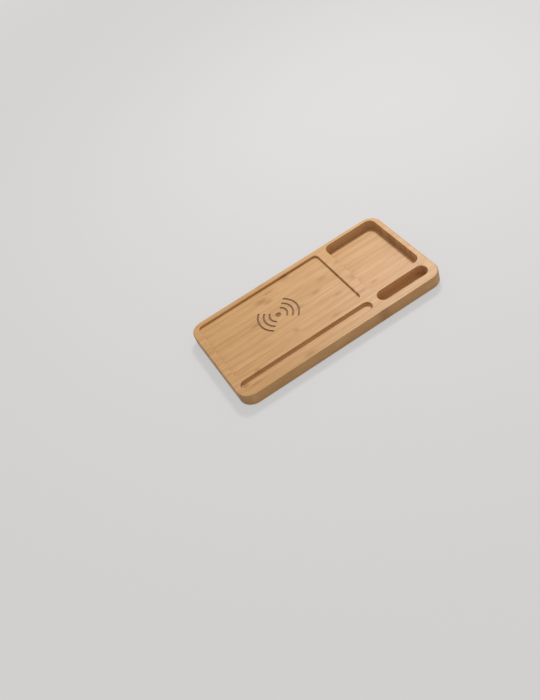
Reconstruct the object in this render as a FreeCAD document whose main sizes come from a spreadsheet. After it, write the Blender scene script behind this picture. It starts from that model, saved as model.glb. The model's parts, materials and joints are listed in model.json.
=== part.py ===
"""Bamboo desk organizer with a wireless charger under its phone tray.

Millimetres. +Z up, +X along the length, +Y to the back.
The origin is on the desk, under the middle of the block.
"""
import FreeCAD, Part
import math
import os
import Sketcher

Vector = FreeCAD.Vector

SIZES = {
    # The block and its edges
    "block_length": 248.0,
    "block_width": 130.0,
    "block_height": 15.0,
    "block_corner_radius": 15.0,
    "block_edge_radius": 1.2,
    "hollow_rim_radius": 0.7,
    # Rims and webs that are left between the hollows
    "front_rim": 10.3,
    "tray_left_rim": 8.5,
    "tray_back_rim": 6.5,
    "tray_groove_web": 8.8,
    "tray_compartment_web": 11.8,
    "groove_left_rim": 6.5,
    "groove_slot_web": 9.5,
    "slot_right_rim": 9.7,
    "slot_compartment_web": 6.9,
    "compartment_right_rim": 6.3,
    "compartment_back_rim": 4.5,
    # The hollows
    "tray_depth": 2.8,
    "tray_corner_radius": 5.0,
    "groove_width": 13.0,
    "groove_depth": 4.0,
    "groove_floor_radius": 2.0,
    "compartment_length": 64.9,
    "compartment_depth": 11.0,
    "compartment_corner_radius": 8.0,
    "slot_length": 61.8,
    "slot_width": 15.2,
    "slot_depth": 11.0,
    # The charging mark: a dot with waves on both sides
    "mark_depth": 0.7,
    "mark_dot_radius": 3.1,
    "mark_stroke": 2.2,
    "wave_count": 3,
    "wave_first_radius": 9.9,
    "wave_pitch": 6.5,
    "wave_half_angle": 45.0,
    # The chamber under the tray
    "tray_floor_thickness": 2.2,
    "chamber_back_wall": 3.6,
    "chamber_corner_radius": 4.0,
    "board_side_clearance": 0.6,
    "board_back_clearance": 0.4,
    "post_radius": 2.75,
    "coil_clearance": 2.0,
    "post_side_margin": 3.25,
    "post_row_margin": 4.0,
    # The cover and its screws
    "cover_thickness": 1.5,
    "cover_clearance": 0.25,
    "cover_corner_radius": 5.0,
    "cover_ledge": 6.0,
    "cover_back_ledge": 1.2,
    "cover_screw_inset": 8.0,
    "cover_screw_length": 6.0,
    "cover_screw_radius": 1.1,
    "cover_screw_head_radius": 2.1,
    "screw_hole_clearance": 0.15,
    "screw_seat_clearance": 0.05,
    "pilot_spare_depth": 0.5,
    "recess_width": 0.6,
    "recess_span": 2.2,
    "recess_depth": 0.6,
    # The feet
    "foot_radius": 5.0,
    "foot_proud": 1.0,
    "foot_recess_depth": 0.8,
    "foot_recess_clearance": 0.2,
    "foot_edge_radius": 0.4,
    "foot_inset": 17.0,
    # The coil, its shield and its tape
    "wire_diameter": 0.6,
    "turn_gap": 0.45,
    "coil_turns": 10,
    "coil_inner_radius": 10.5,
    "coil_seat_gap": 0.03,
    "inner_bend_radius": 2.0,
    "lead_bend_radius": 1.5,
    "lead_drop": 0.3,
    "lead_pad_clearance": 1.5,
    "ferrite_margin": 1.5,
    "ferrite_thickness": 0.8,
    "ferrite_hole_margin": 2.5,
    "tape_thickness": 0.3,
    "joint_radius": 0.9,
    "joint_top_radius": 0.5,
    "joint_height": 0.8,
    # The board and its screws
    "board_width": 42.0,
    "board_thickness": 1.0,
    "board_cover_gap": 1.2,
    "board_screw_radius": 1.0,
    "board_screw_length": 5.5,
    "board_screw_head_radius": 1.9,
    "board_screw_head_height": 0.9,
    # The power inlet
    "inlet_width": 8.94,
    "inlet_height": 3.26,
    "inlet_wall": 0.3,
    "inlet_length": 8.0,
    "inlet_recess": 0.6,
    "inlet_hole_clearance": 0.35,
    "inlet_hole_chamfer": 0.5,
    "inlet_plug_depth": 6.2,
    "inlet_fit_clearance": 0.02,
    "tongue_width": 6.7,
    "tongue_thickness": 0.7,
    "tongue_setback": 0.8,
    "contact_count": 12,
    "contact_pitch": 0.5,
    "contact_width": 0.25,
    "contact_length": 4.0,
    "contact_thickness": 0.06,
    "contact_setback": 0.3,
}

# Rows of board components: length along X, width along Y and height of one, how far the row lies from
# the board's back edge, its shift along X, how many it holds and their pitch
INLET_ROWS = {
    "input_capacitors": dict(length=1.6, width=3.2, height=1.6, offset=4.0, shift=0.0, count=2, pitch=18.0),
    "sense_resistor": dict(length=6.3, width=3.2, height=0.6, offset=7.0, shift=-16.0, count=1, pitch=0.0),
    "voltage_regulator": dict(length=2.9, width=1.6, height=1.1, offset=7.0, shift=16.0, count=1, pitch=0.0),
}
LEAD_ROWS = {
    "bridge_transistors": dict(length=5.0, width=6.0, height=1.0, offset=14.0, shift=0.0, count=4, pitch=6.0),
    "ceramic_capacitors": dict(length=1.6, width=0.8, height=0.8, offset=18.0, shift=0.0, count=6, pitch=4.0),
    "control_chip": dict(length=6.0, width=6.0, height=0.9, offset=22.0, shift=0.0, count=1, pitch=0.0),
    "chip_resistors": dict(length=0.8, width=1.6, height=0.45, offset=26.6, shift=0.0, count=8, pitch=2.8),
    "resonant_capacitors": dict(length=2.5, width=3.2, height=2.0, offset=31.0, shift=0.0, count=4, pitch=4.5),
}

FORMULAS = {
    # Levels above the desk
    "block_bottom": "foot_proud",
    "block_top": "foot_proud + block_height",
    "tray_floor": "block_top - tray_depth",
    "groove_floor": "block_top - groove_depth",
    "cover_top": "block_bottom + cover_thickness",
    "board_bottom": "cover_top + board_cover_gap",
    "board_top": "board_bottom + board_thickness",
    "chamber_top": "tray_floor - tray_floor_thickness",
    # The hollows: what the rims and webs leave of the block, and their centres
    "front_face": "-block_width / 2",
    "back_face": "block_width / 2",
    "left_face": "-block_length / 2",
    "right_face": "block_length / 2",
    "tray_right_rim": "tray_compartment_web + compartment_length + compartment_right_rim",
    "tray_length": "block_length - tray_left_rim - tray_right_rim",
    "tray_width": "block_width - front_rim - groove_width - tray_groove_web - tray_back_rim",
    "tray_x": "left_face + tray_left_rim + tray_length / 2",
    "tray_y": "back_face - tray_back_rim - tray_width / 2",
    "groove_length": "block_length - groove_left_rim - groove_slot_web - slot_length - slot_right_rim",
    "groove_x": "left_face + groove_left_rim + groove_length / 2",
    "groove_y": "front_face + front_rim + groove_width / 2",
    "compartment_width": "block_width - front_rim - slot_width - slot_compartment_web - compartment_back_rim",
    "compartment_x": "right_face - compartment_right_rim - compartment_length / 2",
    "compartment_y": "back_face - compartment_back_rim - compartment_width / 2",
    "slot_x": "right_face - slot_right_rim - slot_length / 2",
    "slot_y": "front_face + front_rim + slot_width / 2",
    # The coil stack, glued under the tray
    "turn_pitch": "wire_diameter + turn_gap",
    "half_turns": "2 * round(coil_turns) + 1",
    "coil_outer_radius": "coil_inner_radius + half_turns * turn_pitch / 2",
    "ferrite_radius": "coil_outer_radius + wire_diameter / 2 + ferrite_margin",
    "ferrite_hole_radius": "coil_inner_radius - ferrite_hole_margin",
    "tape_bottom": "chamber_top - tape_thickness",
    "coil_level": "tape_bottom - coil_seat_gap - wire_diameter / 2",
    "ferrite_top": "coil_level - wire_diameter / 2 - coil_seat_gap",
    "ferrite_bottom": "ferrite_top - ferrite_thickness",
    "inner_lead_level": "ferrite_bottom - lead_drop - wire_diameter / 2",
    "inner_lead_x": "tray_x - coil_inner_radius + 2 * inner_bend_radius",
    "outer_lead_x": "tray_x + coil_outer_radius",
    "lead_pad_y": "tray_y + ferrite_radius + lead_pad_clearance",
    "leads_middle": "(inner_lead_x + outer_lead_x) / 2",
    "joint_top": "board_top + joint_height",
    "lead_room": "inner_lead_level - joint_top - wire_diameter / 2",
    "lead_bend": "min(lead_bend_radius; lead_room)",
    # The chamber, the board in it and the cover under it
    "post_spacing_x": "2 * (ferrite_radius + coil_clearance + post_radius)",
    "post_spacing_y": "board_width - 2 * post_row_margin",
    "board_length": "post_spacing_x + 2 * post_side_margin",
    "board_corner_radius": "chamber_corner_radius - board_back_clearance",
    "chamber_length": "board_length + 2 * board_side_clearance",
    "chamber_back": "back_face - chamber_back_wall",
    "chamber_front": "tray_y - ferrite_radius - coil_clearance",
    "chamber_width": "chamber_back - chamber_front",
    "chamber_y": "(chamber_back + chamber_front) / 2",
    "board_back": "chamber_back - board_back_clearance",
    "board_y": "board_back - board_width / 2",
    "rebate_length": "chamber_length + 2 * cover_ledge",
    "rebate_width": "chamber_width + cover_ledge + cover_back_ledge",
    "rebate_y": "chamber_y + (cover_back_ledge - cover_ledge) / 2",
    "cover_length": "rebate_length - 2 * cover_clearance",
    "cover_width": "rebate_width - 2 * cover_clearance",
    "cover_screw_spacing_x": "chamber_length + cover_ledge",
    "cover_screw_spacing_y": "chamber_width - 2 * cover_screw_inset",
    "cover_hole_radius": "cover_screw_radius + screw_hole_clearance",
    "cover_pilot_radius": "cover_screw_radius + screw_seat_clearance",
    "cover_pilot_depth": "cover_screw_length - cover_thickness + pilot_spare_depth",
    "cover_head_height": "cover_screw_head_radius - cover_screw_radius",
    "board_hole_radius": "board_screw_radius + screw_hole_clearance",
    "board_pilot_radius": "board_screw_radius + screw_seat_clearance",
    "board_pilot_depth": "board_screw_length - board_thickness + pilot_spare_depth",
    "board_screw_bottom": "board_bottom - board_screw_head_height",
    # The feet
    "foot_spacing_x": "block_length - 2 * foot_inset",
    "foot_spacing_y": "block_width - 2 * foot_inset",
    "foot_recess_radius": "foot_radius + foot_recess_clearance",
    "foot_height": "foot_proud + foot_recess_depth",
    # The power inlet
    "inlet_mouth": "back_face - inlet_recess",
    "inlet_level": "board_top + inlet_height / 2",
    "inlet_inner_width": "inlet_width - 2 * inlet_wall",
    "inlet_inner_height": "inlet_height - 2 * inlet_wall",
    "inlet_hole_width": "inlet_width + 2 * inlet_hole_clearance",
    "inlet_hole_height": "inlet_height + 2 * inlet_hole_clearance",
    "inlet_block_width": "inlet_inner_width - 2 * inlet_fit_clearance",
    "inlet_block_height": "inlet_inner_height - 2 * inlet_fit_clearance",
    "inlet_block_length": "inlet_length - inlet_plug_depth",
    "inlet_floor": "inlet_mouth - inlet_plug_depth",
    "tongue_length": "inlet_plug_depth - tongue_setback",
    "contact_start": "inlet_mouth - tongue_setback - contact_setback - contact_length",
}

CORNERS = ((-1, -1), (1, -1), (1, 1), (-1, 1))
FEET = ("foot_front_left", "foot_front_right", "foot_back_right", "foot_back_left")
SAME_PLACE = 1e-4
# The wire is measured against itself at this step, leaving out its neighbours, in wire diameters
WIRE_STEP = 0.5
WIRE_NEIGHBOURS = 8

doc = FreeCAD.newDocument("desk_organizer")
sheet = doc.addObject("Spreadsheet::Sheet", "Sizes")
parts = []


def fill_sheet():
    cells = {alias: str(number) for alias, number in SIZES.items()}
    for name, row in {**INLET_ROWS, **LEAD_ROWS}.items():
        cells.update({f"{name}_{word}": str(number) for word, number in row.items()})
    cells.update({alias: "=" + formula for alias, formula in FORMULAS.items()})
    for row, (alias, text) in enumerate(cells.items(), start=1):
        sheet.set(f"A{row}", alias)
        sheet.set(f"B{row}", text)
        sheet.setAlias(f"B{row}", alias)
    doc.recompute()


def size(alias):
    return float(sheet.get(alias))


def bind(item, **formulas):
    for name, formula in formulas.items():
        item.setExpression(name, formula)


def place(item, x="0", y="0", z="0"):
    for axis, formula in zip("xyz", (x, y, z)):
        item.setExpression(f"Placement.Base.{axis}", formula)
    return item


def keep(item, label):
    item.Label = label
    parts.append(item)


# Sketches


def sketch_on(body, name, x="0", y="0", z="0", role="XY_Plane"):
    """A sketch on one of the body's own origin planes, with its origin moved to x, y, z of that plane."""
    plane = next(item for item in body.Origin.OriginFeatures if item.Role == role)
    sketch = body.newObject("Sketcher::SketchObject", name)
    sketch.AttachmentSupport = [(plane, "")]
    sketch.MapMode = "FlatFace"
    for axis, formula in zip("xyz", (x, y, z)):
        sketch.setExpression(f"AttachmentOffset.Base.{axis}", formula)
    return sketch


def constrain(sketch, *constraints):
    for constraint in constraints:
        sketch.addConstraint(Sketcher.Constraint(*constraint))


def drive(sketch, name, formula, *constraint):
    index = sketch.addConstraint(Sketcher.Constraint(*constraint))
    sketch.renameConstraint(index, name)
    sketch.setExpression(f"Constraints.{name}", formula)


def line(x0, y0, x1, y1):
    return Part.LineSegment(Vector(x0, y0, 0), Vector(x1, y1, 0))


def circle(x, y, radius):
    return Part.Circle(Vector(x, y, 0), Vector(0, 0, 1), radius)


def arc(x, y, radius, start, end):
    return Part.ArcOfCircle(circle(x, y, radius), math.radians(start), math.radians(end))


def add_rounded_rectangle(sketch, length, width, radius):
    """A rectangle with round corners about the sketch's origin, driven by three sheet aliases."""
    r = size(radius)
    x = size(length) / 2
    y = size(width) / 2
    bottom = sketch.addGeometry(line(r - x, -y, x - r, -y))
    corner = sketch.addGeometry(arc(x - r, r - y, r, -90, 0))
    right = sketch.addGeometry(line(x, r - y, x, y - r))
    sketch.addGeometry(arc(x - r, y - r, r, 0, 90))
    top = sketch.addGeometry(line(x - r, y, r - x, y))
    sketch.addGeometry(arc(r - x, y - r, r, 90, 180))
    left = sketch.addGeometry(line(-x, y - r, -x, r - y))
    last = sketch.addGeometry(arc(r - x, r - y, r, 180, 270))
    for number in range(bottom, last):
        constrain(sketch, ("Tangent", number, 2, number + 1, 1))
    constrain(sketch, ("Tangent", last, 2, bottom, 1))
    constrain(sketch, ("Horizontal", bottom), ("Horizontal", top), ("Vertical", right), ("Vertical", left))
    for other in range(corner + 2, last + 1, 2):
        constrain(sketch, ("Equal", corner, other))
    constrain(sketch, ("Symmetric", bottom, 1, top, 1, -1, 1))
    drive(sketch, "corner_radius", f"Sizes.{radius}", "Radius", corner, r)
    drive(sketch, "outline_length", f"Sizes.{length}", "DistanceX", left, 1, right, 1, 2 * x)
    drive(sketch, "outline_width", f"Sizes.{width}", "DistanceY", bottom, 1, top, 1, 2 * y)


def add_obround(sketch, name, length, width):
    """A stadium along the sketch's X axis about its origin, driven by two sheet aliases."""
    r = size(width) / 2
    x = size(length) / 2 - r
    bottom = sketch.addGeometry(line(-x, -r, x, -r))
    right = sketch.addGeometry(arc(x, 0, r, -90, 90))
    top = sketch.addGeometry(line(x, r, -x, r))
    left = sketch.addGeometry(arc(-x, 0, r, 90, 270))
    for first, second in ((bottom, right), (right, top), (top, left), (left, bottom)):
        constrain(sketch, ("Tangent", first, 2, second, 1))
    constrain(sketch, ("Horizontal", bottom), ("Symmetric", bottom, 1, top, 1, -1, 1))
    drive(sketch, f"{name}_end_radius", f"Sizes.{width} / 2", "Radius", right, r)
    straight = f"Sizes.{length} - Sizes.{width}"
    drive(sketch, f"{name}_straight", straight, "DistanceX", bottom, 1, bottom, 2, 2 * x)


def add_circle(sketch, name, radius):
    ring = sketch.addGeometry(circle(0, 0, size(radius)))
    constrain(sketch, ("Coincident", ring, 3, -1, 1))
    drive(sketch, f"{name}_radius", f"Sizes.{radius}", "Radius", ring, size(radius))


def add_four_circles(sketch, spacing_x, spacing_y, radius):
    """Equal circles at the corners of a rectangle about the sketch's origin."""
    x = size(spacing_x) / 2
    y = size(spacing_y) / 2
    rings = [sketch.addGeometry(circle(side_x * x, side_y * y, size(radius))) for side_x, side_y in CORNERS]
    for other in rings[1:]:
        constrain(sketch, ("Equal", rings[0], other))
    constrain(sketch, ("Symmetric", rings[0], 3, rings[2], 3, -1, 1))
    constrain(sketch, ("Symmetric", rings[1], 3, rings[3], 3, -1, 1))
    constrain(sketch, ("Horizontal", rings[0], 3, rings[1], 3))
    drive(sketch, "ring_radius", f"Sizes.{radius}", "Radius", rings[0], size(radius))
    drive(sketch, "spacing_x", f"Sizes.{spacing_x}", "DistanceX", rings[0], 3, rings[1], 3, 2 * x)
    drive(sketch, "spacing_y", f"Sizes.{spacing_y}", "DistanceY", rings[1], 3, rings[2], 3, 2 * y)


def add_wave(sketch, number):
    """One round-ended arc of the charging mark, about the sketch's origin and its X axis."""
    half = size("mark_stroke") / 2
    angle = size("wave_half_angle")
    middle = size("wave_first_radius") + number * size("wave_pitch")
    end_x = middle * math.cos(math.radians(angle))
    end_y = middle * math.sin(math.radians(angle))
    outer = sketch.addGeometry(arc(0, 0, middle + half, -angle, angle))
    top = sketch.addGeometry(arc(end_x, end_y, half, angle, angle + 180))
    inner = sketch.addGeometry(arc(0, 0, middle - half, -angle, angle))
    bottom = sketch.addGeometry(arc(end_x, -end_y, half, 180 - angle, 360 - angle))
    constrain(sketch, ("Coincident", outer, 3, -1, 1), ("Coincident", inner, 3, -1, 1))
    constrain(sketch, ("Tangent", outer, 2, top, 1), ("Tangent", top, 2, inner, 2))
    constrain(sketch, ("Tangent", inner, 1, bottom, 1), ("Tangent", bottom, 2, outer, 1))
    constrain(sketch, ("Symmetric", outer, 1, outer, 2, -1))
    radius = f"(Sizes.wave_first_radius + {number} * Sizes.wave_pitch + Sizes.mark_stroke / 2)"
    drive(sketch, f"wave{number}_radius", radius, "Radius", outer, middle + half)
    drive(sketch, f"wave{number}_end_radius", "Sizes.mark_stroke / 2", "Radius", top, half)
    span = f"2 * {radius} * sin(Sizes.wave_half_angle * 1 deg)"
    height = 2 * (middle + half) * math.sin(math.radians(angle))
    drive(sketch, f"wave{number}_span", span, "DistanceY", outer, 1, outer, 2, height)


# Features


def pad(body, sketch, length, against_normal=False):
    feature = body.newObject("PartDesign::Pad", f"{sketch.Name}_pad")
    feature.Profile = sketch
    feature.Reversed = against_normal
    bind(feature, Length=length)
    doc.recompute()
    return feature


def cut(body, sketch, depth, along_normal=False):
    """Cut a sketch against its normal, or along it, and make sure that it took material away."""
    before = body.Shape.Volume
    feature = body.newObject("PartDesign::Pocket", f"{sketch.Name}_cut")
    feature.Profile = sketch
    feature.Reversed = along_normal
    bind(feature, Length=depth)
    doc.recompute()
    if body.Shape.Volume >= before:
        raise RuntimeError(f"{sketch.Name} cuts nothing")
    return feature


def dress(body, kind, name, base, edges, **sizes):
    """Round or chamfer some edges of the last feature."""
    names = [f"Edge{number}" for number, edge in enumerate(base.Shape.Edges, start=1)
             if any(edge.isSame(chosen) for chosen in edges)]
    feature = body.newObject(f"PartDesign::{kind}", name)
    feature.Base = (base, names)
    bind(feature, **sizes)
    doc.recompute()
    return feature


def flat_at(shape, axis, level):
    """True where a face or edge lies flat at one level of an axis."""
    box = shape.BoundBox
    low, high = getattr(box, f"{axis}Min"), getattr(box, f"{axis}Max")
    return abs(low - level) < SAME_PLACE and abs(high - level) < SAME_PLACE


def edges_at(shape, level):
    return [edge for edge in shape.Edges if flat_at(edge, "Z", level)]


def mouth_edges(shape, axis, level):
    """The edges of the holes in the flat face at one level."""
    faces = [face for face in shape.Faces if flat_at(face, axis, level)]
    mouths = [wire for face in faces for wire in face.Wires if not wire.isSame(face.OuterWire)]
    return [edge for wire in mouths for edge in wire.Edges]


# The bamboo block


def mill_top(body):
    """The four hollows in the top of the block, with eased rims."""
    top = "Sizes.block_top"
    tray = sketch_on(body, "tray_outline", "Sizes.tray_x", "Sizes.tray_y", top)
    add_rounded_rectangle(tray, "tray_length", "tray_width", "tray_corner_radius")
    cut(body, tray, "Sizes.tray_depth")
    compartment = sketch_on(body, "compartment_outline", "Sizes.compartment_x", "Sizes.compartment_y", top)
    add_rounded_rectangle(compartment, "compartment_length", "compartment_width", "compartment_corner_radius")
    cut(body, compartment, "Sizes.compartment_depth")
    slot = sketch_on(body, "slot_outline", "Sizes.slot_x", "Sizes.slot_y", top)
    add_obround(slot, "slot", "slot_length", "slot_width")
    cut(body, slot, "Sizes.slot_depth")
    groove = sketch_on(body, "groove_outline", "Sizes.groove_x", "Sizes.groove_y", top)
    add_obround(groove, "groove", "groove_length", "groove_width")
    milled = cut(body, groove, "Sizes.groove_depth")
    floor = edges_at(milled.Shape, size("groove_floor"))
    rounded = dress(body, "Fillet", "groove_floor_round", milled, floor, Radius="Sizes.groove_floor_radius")
    rims = mouth_edges(rounded.Shape, "Z", size("block_top"))
    dress(body, "Fillet", "hollow_rim_round", rounded, rims, Radius="Sizes.hollow_rim_radius")


def engrave_mark(body):
    """A dot with waves to its left and right, cut into the middle of the tray's floor."""
    middle = ("Sizes.tray_x", "Sizes.tray_y", "Sizes.tray_floor")
    dot = sketch_on(body, "mark_dot", *middle)
    add_circle(dot, "dot", "mark_dot_radius")
    cut(body, dot, "Sizes.mark_depth")
    waves = sketch_on(body, "mark_waves", *middle)
    for number in range(round(size("wave_count"))):
        add_wave(waves, number)
    right_side = cut(body, waves, "Sizes.mark_depth")
    both_sides = body.newObject("PartDesign::PolarPattern", "mark_both_sides")
    both_sides.Originals = [right_side]
    both_sides.Axis = (waves, ["N_Axis"])
    both_sides.Angle = 360
    both_sides.Occurrences = 2
    body.Tip = both_sides
    doc.recompute()


def mill_underside(body):
    """The cover's rebate, the chamber with posts for the board, pilot holes and the feet's recesses."""
    bottom = "Sizes.block_bottom"
    rebate = sketch_on(body, "rebate_outline", "Sizes.tray_x", "Sizes.rebate_y", bottom)
    add_rounded_rectangle(rebate, "rebate_length", "rebate_width", "cover_corner_radius")
    cut(body, rebate, "Sizes.cover_thickness", along_normal=True)
    chamber = sketch_on(body, "chamber_outline", "Sizes.tray_x", "Sizes.chamber_y", bottom)
    add_rounded_rectangle(chamber, "chamber_length", "chamber_width", "chamber_corner_radius")
    cut(body, chamber, "Sizes.chamber_top - Sizes.block_bottom", along_normal=True)
    posts = sketch_on(body, "board_posts", "Sizes.tray_x", "Sizes.board_y", "Sizes.chamber_top")
    add_four_circles(posts, "post_spacing_x", "post_spacing_y", "post_radius")
    pad(body, posts, "Sizes.chamber_top - Sizes.board_top", against_normal=True)
    pilots = sketch_on(body, "board_pilots", "Sizes.tray_x", "Sizes.board_y", "Sizes.board_top")
    add_four_circles(pilots, "post_spacing_x", "post_spacing_y", "board_pilot_radius")
    cut(body, pilots, "Sizes.board_pilot_depth", along_normal=True)
    pilots = sketch_on(body, "cover_pilots", "Sizes.tray_x", "Sizes.chamber_y", "Sizes.cover_top")
    add_four_circles(pilots, "cover_screw_spacing_x", "cover_screw_spacing_y", "cover_pilot_radius")
    cut(body, pilots, "Sizes.cover_pilot_depth", along_normal=True)
    feet = sketch_on(body, "foot_recesses", z=bottom)
    add_four_circles(feet, "foot_spacing_x", "foot_spacing_y", "foot_recess_radius")
    cut(body, feet, "Sizes.foot_recess_depth", along_normal=True)


def open_back_wall(body):
    """The round-ended hole for the power inlet, chamfered for the plug."""
    hole = sketch_on(body, "inlet_hole", "Sizes.tray_x", "Sizes.inlet_level", "-Sizes.back_face", "XZ_Plane")
    add_obround(hole, "hole", "inlet_hole_width", "inlet_hole_height")
    opened = cut(body, hole, "Sizes.chamber_back_wall", along_normal=True)
    mouth = mouth_edges(opened.Shape, "Y", size("back_face"))
    dress(body, "Chamfer", "inlet_chamfer", opened, mouth, Size="Sizes.inlet_hole_chamfer")


def make_bamboo_body():
    body = doc.addObject("PartDesign::Body", "bamboo_body")
    outline = sketch_on(body, "block_outline", z="Sizes.block_bottom")
    add_rounded_rectangle(outline, "block_length", "block_width", "block_corner_radius")
    block = pad(body, outline, "Sizes.block_height")
    edges = edges_at(block.Shape, size("block_bottom")) + edges_at(block.Shape, size("block_top"))
    dress(body, "Fillet", "block_edge_round", block, edges, Radius="Sizes.block_edge_radius")
    mill_top(body)
    engrave_mark(body)
    mill_underside(body)
    open_back_wall(body)
    keep(body, "bamboo_body")


# The cover, the screws and the feet


def make_base_cover():
    body = doc.addObject("PartDesign::Body", "base_cover")
    outline = sketch_on(body, "cover_outline", "Sizes.tray_x", "Sizes.rebate_y", "Sizes.block_bottom")
    add_rounded_rectangle(outline, "cover_length", "cover_width", "cover_corner_radius")
    pad(body, outline, "Sizes.cover_thickness")
    holes = sketch_on(body, "cover_holes", "Sizes.tray_x", "Sizes.chamber_y", "Sizes.cover_top")
    add_four_circles(holes, "cover_screw_spacing_x", "cover_screw_spacing_y", "cover_hole_radius")
    drilled = cut(body, holes, "Sizes.cover_thickness")
    mouths = mouth_edges(drilled.Shape, "Z", size("block_bottom"))
    dress(body, "Chamfer", "cover_countersinks", drilled, mouths, Size="Sizes.cover_head_height")
    keep(body, "base_cover")


def primitive(kind, name, **formulas):
    item = doc.addObject(f"Part::{kind}", name)
    bind(item, **formulas)
    return item


def boolean(kind, name, base, tool):
    item = doc.addObject(f"Part::{kind}", name)
    item.Base = base
    item.Tool = tool
    return item


def cross_recess(name):
    """Two crossed bars, centred on the screw's axis, that cut the driver's recess from below."""
    bars = []
    for way, (length, width) in enumerate((("recess_span", "recess_width"), ("recess_width", "recess_span"))):
        bar = primitive("Box", f"{name}_bar{way}", Length=f"Sizes.{length}", Width=f"Sizes.{width}",
                        Height="Sizes.recess_depth")
        bars.append(place(bar, f"-Sizes.{length} / 2", f"-Sizes.{width} / 2"))
    return boolean("Fuse", f"{name}_recess", *bars)


def four_copies(label, item, spacing_x, spacing_y, x, y, z):
    """One node of four separate copies of a piece, at the corners of a rectangle about x, y."""
    links = []
    for number, (side_x, side_y) in enumerate(CORNERS):
        link = doc.addObject("App::Link", f"{label}_{number}")
        link.LinkedObject = item
        place(link, f"{x} + {side_x} * {spacing_x} / 2", f"{y} + {side_y} * {spacing_y} / 2", z)
        links.append(link)
    group = doc.addObject("Part::Compound", label)
    group.Links = links
    keep(group, label)


def make_cover_screws():
    """Countersunk screws, flush with the cover; their threads are left plain."""
    head = primitive("Cone", "cover_screw_head", Radius1="Sizes.cover_screw_head_radius",
                     Radius2="Sizes.cover_screw_radius", Height="Sizes.cover_head_height")
    shank = primitive("Cylinder", "cover_screw_shank", Radius="Sizes.cover_screw_radius",
                      Height="Sizes.cover_screw_length")
    blank = boolean("Fuse", "cover_screw_blank", head, shank)
    screw = boolean("Cut", "cover_screw", blank, cross_recess("cover_screw"))
    four_copies("cover_screws", screw, "Sizes.cover_screw_spacing_x", "Sizes.cover_screw_spacing_y",
                "Sizes.tray_x", "Sizes.chamber_y", "Sizes.block_bottom")


def make_board_screws():
    """Flat-headed screws that hold the board up to the posts; their threads are left plain."""
    head = primitive("Cylinder", "board_screw_head", Radius="Sizes.board_screw_head_radius",
                     Height="Sizes.board_screw_head_height")
    shank = primitive("Cylinder", "board_screw_shank", Radius="Sizes.board_screw_radius",
                      Height="Sizes.board_screw_head_height + Sizes.board_screw_length")
    blank = boolean("Fuse", "board_screw_blank", head, shank)
    screw = boolean("Cut", "board_screw", blank, cross_recess("board_screw"))
    four_copies("board_screws", screw, "Sizes.post_spacing_x", "Sizes.post_spacing_y",
                "Sizes.tray_x", "Sizes.board_y", "Sizes.board_screw_bottom")


def make_feet():
    for (side_x, side_y), label in zip(CORNERS, FEET):
        body = doc.addObject("PartDesign::Body", label)
        outline = sketch_on(body, f"{label}_outline")
        add_circle(outline, "foot", "foot_radius")
        disc = pad(body, outline, "Sizes.foot_height")
        lower_edge = edges_at(disc.Shape, 0)
        dress(body, "Fillet", f"{label}_round", disc, lower_edge, Radius="Sizes.foot_edge_radius")
        place(body, f"{side_x} * Sizes.foot_spacing_x / 2", f"{side_y} * Sizes.foot_spacing_y / 2")
        keep(body, label)


# The charger


def make_coil_tape():
    tape = primitive("Cylinder", "coil_tape", Radius="Sizes.ferrite_radius", Height="Sizes.tape_thickness")
    place(tape, "Sizes.tray_x", "Sizes.tray_y", "Sizes.tape_bottom")
    keep(tape, "coil_tape")


def make_ferrite_plate():
    body = doc.addObject("PartDesign::Body", "ferrite_plate")
    outline = sketch_on(body, "ferrite_outline", "Sizes.tray_x", "Sizes.tray_y", "Sizes.ferrite_bottom")
    add_circle(outline, "plate", "ferrite_radius")
    add_circle(outline, "hole", "ferrite_hole_radius")
    pad(body, outline, "Sizes.ferrite_thickness")
    keep(body, "ferrite_plate")


def coil_path():
    """The wire's middle line: from the inner pad under the shield, out along the turns to the outer pad."""
    x, y, level = size("tray_x"), size("tray_y"), size("coil_level")
    low, bend = size("inner_lead_level"), size("lead_bend")
    inner_x, outer_x, pad_y = size("inner_lead_x"), size("outer_lead_x"), size("lead_pad_y")
    curl, rise = size("inner_bend_radius"), (level - low) / 2
    slant = bend * (1 - math.sqrt(0.5))
    edges = []

    def run(start, end):
        edges.append(Part.LineSegment(Vector(*start), Vector(*end)).toShape())

    def turn(start, middle, end):
        edges.append(Part.Arc(Vector(*start), Vector(*middle), Vector(*end)).toShape())

    run((inner_x, pad_y, size("joint_top")), (inner_x, pad_y, low - bend))
    turn((inner_x, pad_y, low - bend), (inner_x, pad_y - slant, low - slant), (inner_x, pad_y - bend, low))
    run((inner_x, pad_y - bend, low), (inner_x, y, low))
    turn((inner_x, y, low), (inner_x, y - rise, low + rise), (inner_x, y, level))
    turn((inner_x, y, level), (inner_x - curl, y + curl, level), (inner_x - 2 * curl, y, level))
    here = inner_x - 2 * curl
    radius, side = size("coil_inner_radius"), 1
    for _ in range(round(size("half_turns"))):
        radius += size("turn_pitch") / 4
        there = here + 2 * side * radius
        turn((here, y, level), (here + side * radius, y - side * radius, level), (there, y, level))
        radius += size("turn_pitch") / 4
        here, side = there, -side
    run((here, y, level), (here, pad_y - bend, level))
    turn((here, pad_y - bend, level), (here, pad_y - slant, level - slant), (here, pad_y, level - bend))
    run((here, pad_y, level - bend), (here, pad_y, size("joint_top")))
    print(f"coil: outer lead at x {here:.3f}, sheet says {outer_x:.3f}")
    return Part.Wire(edges)


def least_gap(path, diameter):
    """The least clear distance between stretches of the wire that are not neighbours along it."""
    points = path.discretize(Distance=WIRE_STEP * diameter)
    skip = math.ceil(WIRE_NEIGHBOURS / WIRE_STEP)
    near = min((a - b).Length for n, a in enumerate(points) for b in points[n + skip:])
    return near - diameter


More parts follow.
